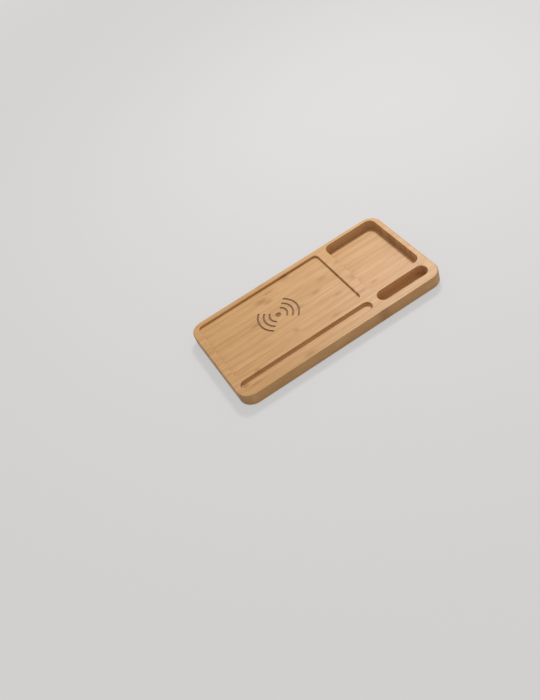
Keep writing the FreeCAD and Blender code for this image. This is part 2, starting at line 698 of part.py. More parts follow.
def make_transmitter_coil():
    path = coil_path()
    diameter = size("wire_diameter")
    start = path.OrderedVertexes[0].Point
    section = Part.Wire(Part.makeCircle(diameter / 2, start, Vector(0, 0, 1)))
    pipe = Part.BRepOffsetAPI.MakePipeShell(path)
    pipe.add(section)
    pipe.build()
    pipe.makeSolid()
    coil = doc.addObject("Part::Feature", "transmitter_coil")
    coil.Shape = pipe.shape()
    wanted = path.Length * math.pi * diameter ** 2 / 4
    share = coil.Shape.Volume / wanted
    print(f"coil: wire {path.Length:.0f} long, volume {share:.4f} of section times length")
    print(f"coil: least gap {least_gap(path, diameter):.3f}")
    keep(coil, "transmitter_coil")


def make_lead_joints():
    joints = []
    for name in ("inner", "outer"):
        joint = primitive("Cone", f"{name}_lead_joint", Radius1="Sizes.joint_radius",
                          Radius2="Sizes.joint_top_radius", Height="Sizes.joint_height")
        joints.append(place(joint, f"Sizes.{name}_lead_x", "Sizes.lead_pad_y", "Sizes.board_top"))
    group = doc.addObject("Part::Compound", "lead_joints")
    group.Links = joints
    keep(group, "lead_joints")


def make_circuit_board():
    body = doc.addObject("PartDesign::Body", "circuit_board")
    outline = sketch_on(body, "board_outline", "Sizes.tray_x", "Sizes.board_y", "Sizes.board_bottom")
    add_rounded_rectangle(outline, "board_length", "board_width", "board_corner_radius")
    pad(body, outline, "Sizes.board_thickness")
    holes = sketch_on(body, "board_holes", "Sizes.tray_x", "Sizes.board_y", "Sizes.board_top")
    add_four_circles(holes, "post_spacing_x", "post_spacing_y", "board_hole_radius")
    cut(body, holes, "Sizes.board_thickness")
    keep(body, "circuit_board")


def make_components(rows, middle):
    """Rows of surface-mounted components, each centred on the given line of the board plus its shift."""
    for name in rows:
        count = round(size(f"{name}_count"))
        boxes = []
        for number in range(count):
            box = primitive("Box", f"{name}_{number}", Length=f"Sizes.{name}_length",
                            Width=f"Sizes.{name}_width", Height=f"Sizes.{name}_height")
            step = f"{number - (count - 1) / 2} * Sizes.{name}_pitch"
            boxes.append(place(box, f"{middle} + Sizes.{name}_shift + {step} - Sizes.{name}_length / 2",
                               f"Sizes.board_back - Sizes.{name}_offset - Sizes.{name}_width / 2",
                               "Sizes.board_top"))
        group = doc.addObject("Part::Compound", name)
        group.Links = boxes
        keep(group, name)


def make_inlet_shell():
    body = doc.addObject("PartDesign::Body", "inlet_shell")
    middle = ("Sizes.tray_x", "Sizes.inlet_level", "-Sizes.inlet_mouth", "XZ_Plane")
    outline = sketch_on(body, "shell_outline", *middle)
    add_obround(outline, "outside", "inlet_width", "inlet_height")
    add_obround(outline, "inside", "inlet_inner_width", "inlet_inner_height")
    pad(body, outline, "Sizes.inlet_length")
    keep(body, "inlet_shell")


def make_inlet_tongue():
    """The moulding inside the shell: a block at the back and the tongue that the plug goes round."""
    body = doc.addObject("PartDesign::Body", "inlet_tongue")
    middle = ("Sizes.tray_x", "Sizes.inlet_level", "-Sizes.inlet_floor", "XZ_Plane")
    block = sketch_on(body, "tongue_block", *middle)
    add_obround(block, "block", "inlet_block_width", "inlet_block_height")
    pad(body, block, "Sizes.inlet_block_length")
    blade = sketch_on(body, "tongue_blade", *middle)
    add_obround(blade, "blade", "tongue_width", "tongue_thickness")
    pad(body, blade, "Sizes.tongue_length", against_normal=True)
    keep(body, "inlet_tongue")


def make_inlet_contacts():
    count = round(size("contact_count"))
    levels = {"upper": "Sizes.inlet_level + Sizes.tongue_thickness / 2",
              "lower": "Sizes.inlet_level - Sizes.tongue_thickness / 2 - Sizes.contact_thickness"}
    strips = []
    for row, level in levels.items():
        for number in range(count):
            strip = primitive("Box", f"{row}_contact_{number}", Length="Sizes.contact_width",
                              Width="Sizes.contact_length", Height="Sizes.contact_thickness")
            step = f"{number - (count - 1) / 2} * Sizes.contact_pitch"
            strips.append(place(strip, f"Sizes.tray_x + {step} - Sizes.contact_width / 2",
                                "Sizes.contact_start", level))
    group = doc.addObject("Part::Compound", "inlet_contacts")
    group.Links = strips
    keep(group, "inlet_contacts")


def check_and_write():
    doc.recompute()
    for item in doc.Objects:
        if "Invalid" in item.State or "Error" in item.State:
            raise RuntimeError(f"{item.Label} failed: {item.State}")
    for item in parts:
        if item.Shape.isNull() or not item.Shape.isValid():
            raise RuntimeError(f"{item.Label} has no valid shape")
    os.makedirs("parts", exist_ok=True)
    for item in parts:
        item.Shape.exportStep(f"parts/{item.Label}.step")
        print(f"{item.Label}: {len(item.Shape.Solids)} solid, {item.Shape.Volume:.2f} mm3")


fill_sheet()
make_bamboo_body()
make_base_cover()
make_cover_screws()
make_feet()
make_coil_tape()
make_transmitter_coil()
make_ferrite_plate()
make_circuit_board()
make_board_screws()
make_lead_joints()
make_components(INLET_ROWS, "Sizes.tray_x")
make_components(LEAD_ROWS, "Sizes.leads_middle")
make_inlet_shell()
make_inlet_tongue()
make_inlet_contacts()
check_and_write()
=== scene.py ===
# %% [markdown]
# # A bamboo desk organizer with a charger under its shallow tray
# The solids come packed in metres, with +X along the block, +Y to its back and Z up from the desk.
# They are loaded once as a fixed frame. Everything below gives them a finish, replaces the few that
# deserve a finer shape, and sets up light and camera.

# %% Load the frame
import json
import math
import bmesh
import bpy
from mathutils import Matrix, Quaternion, Vector


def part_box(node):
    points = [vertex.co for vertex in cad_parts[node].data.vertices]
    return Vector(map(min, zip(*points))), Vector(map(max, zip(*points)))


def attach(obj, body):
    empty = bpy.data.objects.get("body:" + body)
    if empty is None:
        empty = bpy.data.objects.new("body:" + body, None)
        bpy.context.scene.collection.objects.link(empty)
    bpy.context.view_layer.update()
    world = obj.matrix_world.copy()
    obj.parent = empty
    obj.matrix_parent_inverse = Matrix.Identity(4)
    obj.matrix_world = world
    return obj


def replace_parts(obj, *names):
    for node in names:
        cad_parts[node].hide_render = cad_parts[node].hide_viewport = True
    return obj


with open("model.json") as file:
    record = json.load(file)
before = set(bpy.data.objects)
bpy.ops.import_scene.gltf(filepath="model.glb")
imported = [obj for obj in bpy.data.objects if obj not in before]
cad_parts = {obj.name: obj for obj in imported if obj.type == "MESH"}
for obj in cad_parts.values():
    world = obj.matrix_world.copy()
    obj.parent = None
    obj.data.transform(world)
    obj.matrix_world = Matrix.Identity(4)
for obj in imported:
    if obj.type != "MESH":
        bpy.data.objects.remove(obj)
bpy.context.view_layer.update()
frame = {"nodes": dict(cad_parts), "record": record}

MM = 0.001
nodes = frame["nodes"]

# %% [markdown]
# ## The camera
# The block is seen from the front and a little from its left end, from about 45 degrees above, and the
# picture leans: its long edges climb to the right. A camera with a level horizon can't show that, so
# this one is first aimed at a point of the tray and then rolled about its own line of sight. Tracking
# a direction with a quaternion and multiplying in the roll is clearer than three mixed Euler angles.

# %% Camera
EYE = Vector((-0.1919, -0.5653, 0.6066))
AIM = Vector((-0.0699, -0.0262, 0.0160))
ROLL = math.radians(-23.4)
LENS_MM = 40.45
NEAR_CLIP, FAR_CLIP = 0.01, 50


def add_camera():
    camera = bpy.data.objects.new("camera", bpy.data.cameras.new("camera"))
    bpy.context.scene.collection.objects.link(camera)
    camera.data.lens = LENS_MM
    camera.data.clip_start, camera.data.clip_end = NEAR_CLIP, FAR_CLIP
    camera.location = EYE
    camera.rotation_mode = "QUATERNION"
    level = (AIM - EYE).to_track_quat("-Z", "Y")
    camera.rotation_quaternion = level @ Quaternion((0, 0, 1), ROLL)
    return camera


bpy.context.scene.camera = add_camera()
print("camera", round((AIM - EYE).length, 3), "m from what it aims at")

# %% [markdown]
# ## The lamp
# The light comes from behind the right end, about 55 degrees above the desk, so the front and the left
# end lie in shade and every hollow has a dark band half as wide as it is deep under its back and right
# walls. The lamp could be a sun, which lights everything evenly. It is a square panel about a metre
# away instead: near enough that the right end is a little brighter than the left, and large enough to
# blur the edge of each shadow. Its power is worked out from the share of light that should reach the
# block, and the picture is shown with the plain view transform, so that colours stay as they are mixed.

# %% Lamp
LAMP_WAY = Vector((0.52, 0.50, 1.00)).normalized()
LAMP_DISTANCE = 0.95
LAMP_SIZE = 0.18
LAMP_SHARE = 0.53


def add_lamp():
    lamp = bpy.data.objects.new("key_lamp", bpy.data.lights.new("key_lamp", "AREA"))
    bpy.context.scene.collection.objects.link(lamp)
    lamp.data.size = LAMP_SIZE
    lamp.data.energy = LAMP_SHARE * (math.pi * LAMP_DISTANCE) ** 2 / LAMP_WAY.z
    lamp.location = LAMP_WAY * LAMP_DISTANCE
    lamp.rotation_mode = "QUATERNION"
    lamp.rotation_quaternion = (-LAMP_WAY).to_track_quat("-Z", "Y")
    return lamp


lamp = add_lamp()
bpy.context.scene.view_settings.view_transform = "Standard"
print("lamp", round(lamp.data.energy, 2), "W")

# %% [markdown]
# ## The room
# An even grey room fills the shade. Lamp and room together give a level face about as much light as its
# colour needs to look the way it was mixed. Looked at directly, or in a polished face, the room has the
# floor's pale tone instead, so that nothing darker shows above the floor. The Light Path node tells the
# two cases apart.

# %% Room
ROOM_SHARE = 0.49
PALE_GREY = (0.69, 0.682, 0.675, 1)


def seen_directly(tree):
    """1 for what the camera sees, also in a reflection or through glass, and 0 for scattered light."""
    path = tree.nodes.new("ShaderNodeLightPath")
    seen = path.outputs["Is Camera Ray"]
    for name in ("Is Glossy Ray", "Is Transmission Ray"):
        either = tree.nodes.new("ShaderNodeMath")
        either.operation = "MAXIMUM"
        tree.links.new(seen, either.inputs[0])
        tree.links.new(path.outputs[name], either.inputs[1])
        seen = either.outputs[0]
    return seen


def add_room():
    room = bpy.data.worlds.new("room")
    bpy.context.scene.world = room
    room.use_nodes = True
    tree = room.node_tree
    tree.nodes.clear()
    output = tree.nodes.new("ShaderNodeOutputWorld")
    light, seen = tree.nodes.new("ShaderNodeBackground"), tree.nodes.new("ShaderNodeBackground")
    light.inputs["Color"].default_value = (1, 1, 1, 1)
    light.inputs["Strength"].default_value = ROOM_SHARE
    seen.inputs["Color"].default_value = PALE_GREY
    switch = tree.nodes.new("ShaderNodeMixShader")
    tree.links.new(seen_directly(tree), switch.inputs["Fac"])
    tree.links.new(light.outputs[0], switch.inputs[1])
    tree.links.new(seen.outputs[0], switch.inputs[2])
    tree.links.new(switch.outputs[0], output.inputs["Surface"])


add_room()
print("room light", ROOM_SHARE)

# %% [markdown]
# ## The floor
# The organizer stands on a plain pale desk top. A single large sheet is enough. Seen by the camera,
# most of its tone is a steady pale grey and the rest takes the light, which leaves a faint, soft
# shadow.
# Farther out the steady tone takes over, so that the floor runs into the room without a horizon. For
# scattered light it is plain paint.

# %% Floor
FLOOR_HALF = 4.0
STEADY_SHARE = 0.70
FADE_FROM, FADE_TO = 0.35, 1.40
PAINT_ROUGHNESS = 0.9
PAINT_SHINE = 0.1


def floor_paint():
    paint = bpy.data.materials.new("floor_paint")
    paint.use_nodes = True
    tree = paint.node_tree
    sheet = tree.nodes["Principled BSDF"]
    sheet.inputs["Base Color"].default_value = PALE_GREY
    sheet.inputs["Roughness"].default_value = PAINT_ROUGHNESS
    sheet.inputs["Specular IOR Level"].default_value = PAINT_SHINE
    steady = tree.nodes.new("ShaderNodeEmission")
    steady.inputs["Color"].default_value = PALE_GREY
    place, reach = tree.nodes.new("ShaderNodeTexCoord"), tree.nodes.new("ShaderNodeVectorMath")
    reach.operation = "LENGTH"
    fade = tree.nodes.new("ShaderNodeMapRange")
    for socket, number in zip(fade.inputs[1:5], (FADE_FROM, FADE_TO, STEADY_SHARE, 1.0)):
        socket.default_value = number
    tree.links.new(place.outputs["Object"], reach.inputs[0])
    tree.links.new(reach.outputs["Value"], fade.inputs["Value"])
    share = tree.nodes.new("ShaderNodeMath")
    share.operation = "MULTIPLY"
    tree.links.new(fade.outputs[0], share.inputs[1])
    switch = tree.nodes.new("ShaderNodeMixShader")
    tree.links.new(seen_directly(tree), share.inputs[0])
    tree.links.new(share.outputs[0], switch.inputs["Fac"])
    tree.links.new(sheet.outputs[0], switch.inputs[1])
    tree.links.new(steady.outputs[0], switch.inputs[2])
    tree.links.new(switch.outputs[0], tree.nodes["Material Output"].inputs["Surface"])
    return paint


def add_floor():
    mesh = bpy.data.meshes.new("floor")
    corners = [(-FLOOR_HALF, -FLOOR_HALF, 0), (FLOOR_HALF, -FLOOR_HALF, 0),
               (FLOOR_HALF, FLOOR_HALF, 0), (-FLOOR_HALF, FLOOR_HALF, 0)]
    mesh.from_pydata(corners, [], [(0, 1, 2, 3)])
    mesh.materials.append(floor_paint())
    floor = bpy.data.objects.new("floor", mesh)
    bpy.context.scene.collection.objects.link(floor)
    return floor


add_floor()
print("floor", 2 * FLOOR_HALF, "m square")

# %% [markdown]
# ## A small kit for shader graphs
# Each finish below is a graph of nodes. Written out with the bare calls, a graph takes four lines a
# node, so this class wraps the few kinds that are used here. Any argument may be a number, a colour or
# another node's output. Positions are in millimetres, the measure in which grain is easy to judge.

# %% Graph kit
# A Mix node has a set of sockets for each kind of data. These are the ones for colours.
MIX_SHARE, MIX_FIRST, MIX_SECOND, MIX_RESULT = 0, 6, 7, 2


class Finish:
    """A material and short ways to add nodes to its graph."""

    def __init__(self, name):
        self.material = bpy.data.materials.new(name)
        self.material.use_nodes = True
        self.tree = self.material.node_tree
        self.shader = self.tree.nodes["Principled BSDF"]

    def put(self, socket, value):
        if isinstance(value, bpy.types.NodeSocket):
            self.tree.links.new(value, socket)
        elif value is not None:
            socket.default_value = value

    def add(self, kind, *values, **settings):
        node = self.tree.nodes.new(f"ShaderNode{kind}")
        for name, value in settings.items():
            setattr(node, name, value)
        for socket, value in zip(node.inputs, values):
            self.put(socket, value)
        return node

    def math(self, operation, *values):
        return self.add("Math", *values, operation=operation).outputs[0]

    def place(self):
        """Where a point lies on the part, in millimetres."""
        where = self.add("TexCoord").outputs["Object"]
        scaled = self.add("VectorMath", where, operation="SCALE")
        scaled.inputs["Scale"].default_value = 1 / MM
        return scaled.outputs[0]

    def split(self, vector):
        return self.add("SeparateXYZ", vector).outputs

    def join(self, x, y, z):
        return self.add("CombineXYZ", x, y, z).outputs[0]

    def stretch(self, vector, x, y, z):
        """The position times a scale along each axis, so that a noise becomes streaks."""
        node = self.add("VectorMath", vector, operation="MULTIPLY")
        node.inputs[1].default_value = (x, y, z)
        return node.outputs[0]

    def noise(self, vector, detail=2.0, rough=0.5):
        node = self.add("TexNoise")
        sockets = {"Vector": vector, "Scale": 1.0, "Detail": detail, "Roughness": rough}
        for name, value in sockets.items():
            self.put(node.inputs[name], value)
        return node.outputs[0]

    def random(self, number):
        """Three random numbers from one whole number."""
        node = self.add("TexWhiteNoise", noise_dimensions="1D")
        self.put(node.inputs["W"], number)
        return self.add("SeparateColor", node.outputs["Color"]).outputs

    def span(self, value, low, high, to_low=0.0, to_high=1.0):
        """Carries low..high smoothly to to_low..to_high, and no further."""
        ends = (low, high, to_low, to_high)
        return self.add("MapRange", value, *ends, interpolation_type="SMOOTHSTEP").outputs[0]

    def mix(self, share, first, second):
        node = self.add("Mix", data_type="RGBA")
        for index, value in ((MIX_SHARE, share), (MIX_FIRST, first), (MIX_SECOND, second)):
            self.put(node.inputs[index], value)
        return node.outputs[MIX_RESULT]

    def surface(self, **sockets):
        for name, value in sockets.items():
            self.put(self.shader.inputs[name.replace("_", " ")], value)

    def relief(self, height, depth_mm, strength=1.0):
        node = self.add("Bump")
        node.inputs["Strength"].default_value = strength
        node.inputs["Distance"].default_value = depth_mm * MM
        self.put(node.inputs["Height"], height)
        self.put(self.shader.inputs["Normal"], node.outputs[0])

    def on(self, *names):
        for name in names:
            for slot in nodes[name].material_slots:
                slot.material = self.material


print("graph kit:", ", ".join(name for name in vars(Finish) if not name.startswith("_")))

# %% [markdown]
# ## Bamboo
# The block is glued from upright bamboo strips that run the whole length. A finish that is painted on
# would have to be fitted to every wall, rim and end. This one is solid instead: it is worked out from
# where a point lies in the block, so it fits all of them by itself. Colours are written as they render,
# in linear light, and lengths in millimetres.

# %% Bamboo colours, and where the hollows lie
BAMBOO_LIGHT = (0.638, 0.366, 0.152, 1)
BAMBOO_DARK = (0.538, 0.280, 0.097, 1)
FIBRE_BROWN = (0.376, 0.178, 0.050, 1)
KNUCKLE_BROWN = (0.342, 0.146, 0.037, 1)
END_BROWN = (0.300, 0.155, 0.068, 1)
# The pale and brown wall tones are painted light: they lighten the walls of the deep hollows, which lie
# in shade.
WALL_PAINTED_LIGHT_PALE = (0.740, 0.465, 0.240, 1)
WALL_PAINTED_LIGHT_BROWN = (0.460, 0.260, 0.118, 1)
BURNT_BROWN = (0.215, 0.100, 0.038, 1)
openings = {opening["name"]: [Vector(corner) / MM for corner in opening["box_m"]]
            for opening in frame["record"]["physics"]["openings"]}
print("hollows:", ", ".join(openings))

# %% [markdown]
# ### Strips
# A strip's number is its place across the block divided by its width, rounded down, and three random
# numbers follow from it: how dark the strip is, where along the cane it was cut, and which of its sides
# was the cane's skin. The fibres lie closer there, so that side is darker. A slow noise bends the glue
# lines a little, as planed strips have. The first strip's number only picks one arrangement of many.

# %% Bamboo strips
STRIP_WIDTH = 6.4
STRIP_SWAY = 9.0                  # how far the glue lines may wander
SWAY_RATE = (0.002, 0.09, 0.0)    # and how fast, per millimetre along, across and up
FIRST_STRIP = 200.0


def bamboo_strips(f, where):
    """For each point: place in its strip, nearness to a glued edge, skin side, and random numbers."""
    y = f.split(where)[1]
    sway = f.noise(f.stretch(where, *SWAY_RATE))
    across = f.math("DIVIDE", f.math("MULTIPLY_ADD", sway, STRIP_SWAY, y), STRIP_WIDTH)
    inside = f.math("FRACT", across)
    tone, start, flip = f.random(f.math("ADD", f.math("FLOOR", across), FIRST_STRIP))
    edge = f.math("MINIMUM", inside, f.math("SUBTRACT", 1.0, inside))
    skin = f.math("ABSOLUTE", f.math("SUBTRACT", f.math("ROUND", flip), inside))
    return inside, edge, skin, tone, start, flip


# %% [markdown]
# ### Knuckles
# Where the cane had a knuckle, its strip has a soft brown patch with a darker line through it, bowed
# across the strip. The distance to the nearest knuckle is the place along the cane, wrapped at the
# spacing of knuckles. The long streaks are added to it, which makes the patch's ends ragged.

# %% Bamboo knuckles
KNUCKLE_SPACING = 205.0
KNUCKLE_SHIFT = 7.0 * KNUCKLE_SPACING    # a strip is cut from anywhere in this length of cane
KNUCKLE_BOW = 10.0                       # how strongly the line is bowed
KNUCKLE_RAGGED = 22.0                    # how far a streak pushes the patch's end
KNUCKLE_REACH = (5.0, 11.0)              # from the line to the patch's end
PATCH_SHARE, LINE_SHARE = 0.55, 0.40     # how brown they are


def bamboo_knuckles(f, x, inside, edge, start, tone, streaks):
    """How brown a point is from a knuckle in its strip."""
    middle = f.math("SUBTRACT", inside, 0.5)
    bow = f.math("MULTIPLY", f.math("MULTIPLY", middle, middle), KNUCKLE_BOW)
    along = f.math("ADD", f.math("MULTIPLY_ADD", start, KNUCKLE_SHIFT, x), bow)
    turn = f.math("FRACT", f.math("DIVIDE", along, KNUCKLE_SPACING))
    off = f.math("MULTIPLY", f.math("ABSOLUTE", f.math("SUBTRACT", turn, 0.5)), KNUCKLE_SPACING)
    uneven = f.math("MULTIPLY", f.math("SUBTRACT", streaks, 0.5), KNUCKLE_RAGGED)
    reach = f.span(tone, 0.0, 1.0, *KNUCKLE_REACH)
    patch = f.span(f.math("ADD", off, uneven), reach, 0.5, 0.0, PATCH_SHARE)
    patch = f.math("MULTIPLY", patch, f.span(edge, 0.0, 0.3, 0.3, 1.0))
    core = f.math("MULTIPLY", f.span(off, 0.25, 1.0, LINE_SHARE, 0.0), f.span(edge, 0.02, 0.2))
    return f.math("MAXIMUM", patch, core)


print("a knuckle every", KNUCKLE_SPACING, "mm of a strip")

# %% [markdown]
# ### The burnt sign, and painted light on the walls of the deep hollows
# Both are places on the block, so a product of ones and zeros finds each of them. The sign is cut into
# the tray's floor: near the tray's middle and below that floor, the wood is burnt brown. In the two
# deep hollows the upright walls, which the normal tells from the floor, are painted paler than the
# flat faces. That is painted light: it lightens the shade that lies on these walls.

# %% Places on the block
SIGN_RADIUS = 32.0
SIGN_DEEPEST = 1.0          # below the tray's floor; the chamber farther down isn't burnt
SIGN_FADE = (0.30, 0.11)    # below the tray's floor, from burnt to plain
WALL_MARGIN = 2.75          # from the boxes of the hollows to just behind their walls


def burnt_mark(f, x, y, z):
    """1 on the floor and walls of the engraved sign, which lies below the tray's own floor."""
    low, high = openings["phone_tray"]
    middle = (low + high) / 2
    off = f.math("SQRT", f.math("ADD", f.math("POWER", f.math("SUBTRACT", x, middle.x), 2.0),
                                f.math("POWER", f.math("SUBTRACT", y, middle.y), 2.0)))
    inside = f.math("LESS_THAN", off, SIGN_RADIUS)
    above = f.math("GREATER_THAN", z, low.z - SIGN_DEEPEST)
    below = f.span(z, *(low.z - depth for depth in SIGN_FADE), 1.0, 0.0)
    return f.math("MULTIPLY", f.math("MULTIPLY", inside, above), below)


def painted_light_on_walls(f, x, y, up):
    """1 on the walls of the two deep hollows, where light is painted into their shade."""
    hollows = [corner for name in ("deep_compartment", "stadium_slot") for corner in openings[name]]
    painted_light_wall = f.span(f.math("ABSOLUTE", up), 0.35, 0.75, 1.0, 0.0)
    for place, axis in ((x, 0), (y, 1)):
        low = min(corner[axis] for corner in hollows) - WALL_MARGIN
        high = max(corner[axis] for corner in hollows) + WALL_MARGIN
        painted_light_wall = f.math("MULTIPLY", painted_light_wall, f.math("GREATER_THAN", place, low))
        painted_light_wall = f.math("MULTIPLY", painted_light_wall, f.math("LESS_THAN", place, high))
    return painted_light_wall


print("sign within", SIGN_RADIUS, "mm of the tray's middle")

# %% [markdown]
# ### The bamboo's grain
# Noise that is stretched along the strips gives clouds, long streaks and short fibres. A rate says how
# fast each changes per millimetre along, across and up the block: a small one draws it out. All three
# are shifted from strip to strip, because neighbours come from different canes.

# %% Bamboo grain
CLOUD_RATE = (0.030, 0.20, 0.08)
STREAK_RATE = (0.009, 1.3, 1.3)
FIBRE_RATE = (0.090, 4.5, 4.5)
STRIP_SHIFT = 900.0                  # neighbouring strips are cut up to this far apart
TONE_SHARE, SKIN_SHARE = 0.24, 0.16  # how much a strip's own tone and its skin side darken it
SKIN_CLOSER = 0.10
FIBRE_SHARE = 0.46


def bamboo_grain(f, shifted, skin, tone):
    """The colour along the grain, and the streaks and fibres that it is made with."""
    clouds = f.noise(f.stretch(shifted, *CLOUD_RATE), 3.0, 0.6)
    streaks = f.noise(f.stretch(shifted, *STREAK_RATE), 5.0, 0.62)
    fibres = f.noise(f.stretch(shifted, *FIBRE_RATE), 3.0, 0.6)
    strip = f.math("MULTIPLY_ADD", tone, TONE_SHARE, f.math("MULTIPLY", skin, SKIN_SHARE))
    colour = f.mix(f.span(f.math("ADD", strip, clouds), 0.38, 1.02), BAMBOO_LIGHT, BAMBOO_DARK)
    for lines, low, high in ((streaks, 0.50, 0.82), (fibres, 0.58, 0.80)):
        close = f.math("MULTIPLY_ADD", skin, SKIN_CLOSER, lines)
        colour = f.mix(f.span(close, low, high, 0.0, FIBRE_SHARE), colour, FIBRE_BROWN)
    return colour, streaks, fibres


print("fibres cover up to", FIBRE_SHARE, "of the ground colour")

# %% [markdown]
# ### Glue lines and ends
# A glue line is a thin brown edge of a strip. It is strong between some strips and all but gone between
# others, and it fades along its length. On faces that cross the grain, the fibres show end on, as dots,
# and every strip has its own tone, so the block's ends are barred. The ends of the deep hollows are
# barred a little less, as part of the painted light on their walls.

# %% Bamboo glue lines and ends
GLUE_RATE = (0.02, 0.3, 0.3)
GLUE_EDGE = 0.075                 # a share of the strip's width
GLUE_SHARE = (0.1, 0.70)
DOT_RATE = (0.02, 2.6, 2.6)
BAR_SHARE, DOT_SHARE = 0.45, 0.34
SKIN_BAR = 0.22
# On the walls of the deep hollows the end bars are weakened, as part of the painted light there.
PAINTED_LIGHT_END_SHARE = 0.85


def glue_lines(f, shifted, edge, flip):
    """The line between two strips, stronger here and weaker there."""
    fades = f.span(f.noise(f.stretch(shifted, *GLUE_RATE)), 0.35, 0.65, 0.4, 1.0)
    strength = f.span(flip, 0.1, 0.9, *GLUE_SHARE)
    line = f.math("MULTIPLY", f.span(edge, 0.0, GLUE_EDGE, 1.0, 0.0), strength)
    return f.math("MULTIPLY", line, fades)


def end_grain(f, where, across, deep, skin, tone, flip):
    """How dark a face is because it crosses the grain; less so on the walls of the deep hollows, as
    painted light.
    """
    dots = f.noise(f.stretch(where, *DOT_RATE), 2.0)
    strip = f.span(f.math("ADD", flip, tone), 0.6, 1.5, 0.0, BAR_SHARE)
    bars = f.math("MULTIPLY_ADD", skin, SKIN_BAR, strip)
    darkness = f.math("ADD", bars, f.span(dots, 0.40, 0.64, 0.0, DOT_SHARE))
    share = f.math("MULTIPLY", f.span(f.math("ABSOLUTE", across), 0.45, 0.95),
                   f.span(deep, 0.0, 1.0, 1.0, PAINTED_LIGHT_END_SHARE))
    return f.math("MULTIPLY", share, darkness)


print("a glue line is up to", round(2 * GLUE_EDGE * STRIP_WIDTH, 2), "mm wide")

# %% [markdown]
# ### The finished bamboo
# Now the layers are laid over each other: the grain, the glue lines, the knuckles, the painted light on
# the walls of the deep hollows, the darker ends, and last the sign that is burnt in. A thin satin
# lacquer lies over all of it, so the gloss varies little, and the relief is only a few hundredths of a
# millimetre.

# %% Bamboo finish
# How much painted light goes onto the walls of the deep hollows.
WALL_PAINTED_LIGHT_SHARE = 0.70
LACQUER_ROUGHNESS = (0.42, 0.54)
GRAIN_RELIEF = 0.05


def bamboo_finish():
    f = Finish("bamboo_lacquered")
    where = f.place()
    x, y, z = f.split(where)
    inside, edge, skin, tone, start, flip = bamboo_strips(f, where)
    shifted = f.join(f.math("MULTIPLY_ADD", start, STRIP_SHIFT, x), y, z)
    colour, streaks, fibres = bamboo_grain(f, shifted, skin, tone)
    colour = f.mix(glue_lines(f, shifted, edge, flip), colour, FIBRE_BROWN)
    colour = f.mix(bamboo_knuckles(f, x, inside, edge, start, tone, streaks), colour, KNUCKLE_BROWN)

    across, _, up = f.split(f.add("TexCoord").outputs["Normal"])
    lines = f.math("ADD", streaks, fibres)
    # Painted light: the walls of the deep hollows are painted paler, standing in for fill light in
    # their shade.
    deep = painted_light_on_walls(f, x, y, up)
    painted_light_wall = f.mix(f.span(lines, 0.75, 1.35), WALL_PAINTED_LIGHT_PALE, WALL_PAINTED_LIGHT_BROWN)
    colour = f.mix(f.math("MULTIPLY", deep, WALL_PAINTED_LIGHT_SHARE), colour, painted_light_wall)
    colour = f.mix(end_grain(f, where, across, deep, skin, tone, flip), colour, END_BROWN)
    colour = f.mix(burnt_mark(f, x, y, z), colour, BURNT_BROWN)

    gloss = f.span(lines, 0.8, 1.3, *LACQUER_ROUGHNESS)
    f.surface(Base_Color=colour, Roughness=gloss, Specular_IOR_Level=0.5)
    f.relief(f.math("ADD", streaks, f.math("MULTIPLY", fibres, 0.6)), GRAIN_RELIEF, 0.6)
    return f


bamboo = bamboo_finish()
bamboo.on("bamboo_body")
print("bamboo:", len(bamboo.tree.nodes), "shader nodes")

# %% [markdown]
# ## Moulded plastic and rubber
# The cover under the block is a black moulding with the fine pitted skin that an eroded mould leaves.
# The feet are punched from black rubber sheet: duller, with a little grey dust in the surface. Both are
# a dark colour broken up by noise at two sizes, with the same noise as a shallow relief.

# %% Plastic and rubber
CLOUD_SCALE = 0.06
GLOSS_SPREAD = 0.07


def mottled_finish(name, first, second, grain_mm, relief_mm, rough):
    """A dull skin: two near tones in cloudy patches, with fine pits as large as the given grain."""
    f = Finish(name)
    where = f.place()
    clouds = f.noise(f.stretch(where, *(CLOUD_SCALE,) * 3), 3.0)
    pits = f.noise(f.stretch(where, *(1 / grain_mm,) * 3), 2.0)
    share = f.math("ADD", f.math("MULTIPLY", clouds, 0.5), f.math("MULTIPLY", pits, 0.5))
    f.surface(Base_Color=f.mix(f.span(share, 0.35, 0.65), first, second),
              Roughness=f.span(pits, 0.3, 0.7, rough - GLOSS_SPREAD, rough + GLOSS_SPREAD))
    f.relief(pits, relief_mm)
    return f


feet = [name for name in nodes if name.startswith("foot_")]
mottled_finish("cover_moulding", (0.020, 0.020, 0.021, 1), (0.034, 0.034, 0.035, 1),
               grain_mm=0.35, relief_mm=0.04, rough=0.58).on("base_cover")
mottled_finish("foot_sheet_rubber", (0.022, 0.022, 0.022, 1), (0.050, 0.049, 0.047, 1),
               grain_mm=0.6, relief_mm=0.05, rough=0.82).on(*feet)
mottled_finish("inlet_black_moulding", (0.012, 0.012, 0.012, 1), (0.022, 0.022, 0.022, 1),
               grain_mm=0.2, relief_mm=0.01, rough=0.5).on("inlet_tongue")
print("feet:", ", ".join(feet))

# %% [markdown]
# ## Metal
# The screws are zinc plated, the inlet's shell is drawn from nickel-plated sheet and its contacts have
# a flash of gold. What tells metals apart is their colour and how their gloss is broken: streaks along
# the drawn shell, a blotchy bloom on the zinc.

# %% Metals
BLOOM_DULLING = 0.18
BLOOM_RELIEF = 0.01


def metal_finish(name, bright, dull, streak, rough):
    """Plated metal whose bloom is stretched along the axis that has the smallest scale."""
    f = Finish(name)
    bloom = f.noise(f.stretch(f.place(), *streak), 4.0, 0.6)
    f.surface(Base_Color=f.mix(f.span(bloom, 0.35, 0.7), bright, dull), Metallic=1.0,
              Roughness=f.span(bloom, 0.3, 0.7, rough, rough + BLOOM_DULLING))
    f.relief(bloom, BLOOM_RELIEF, 0.5)
    return f


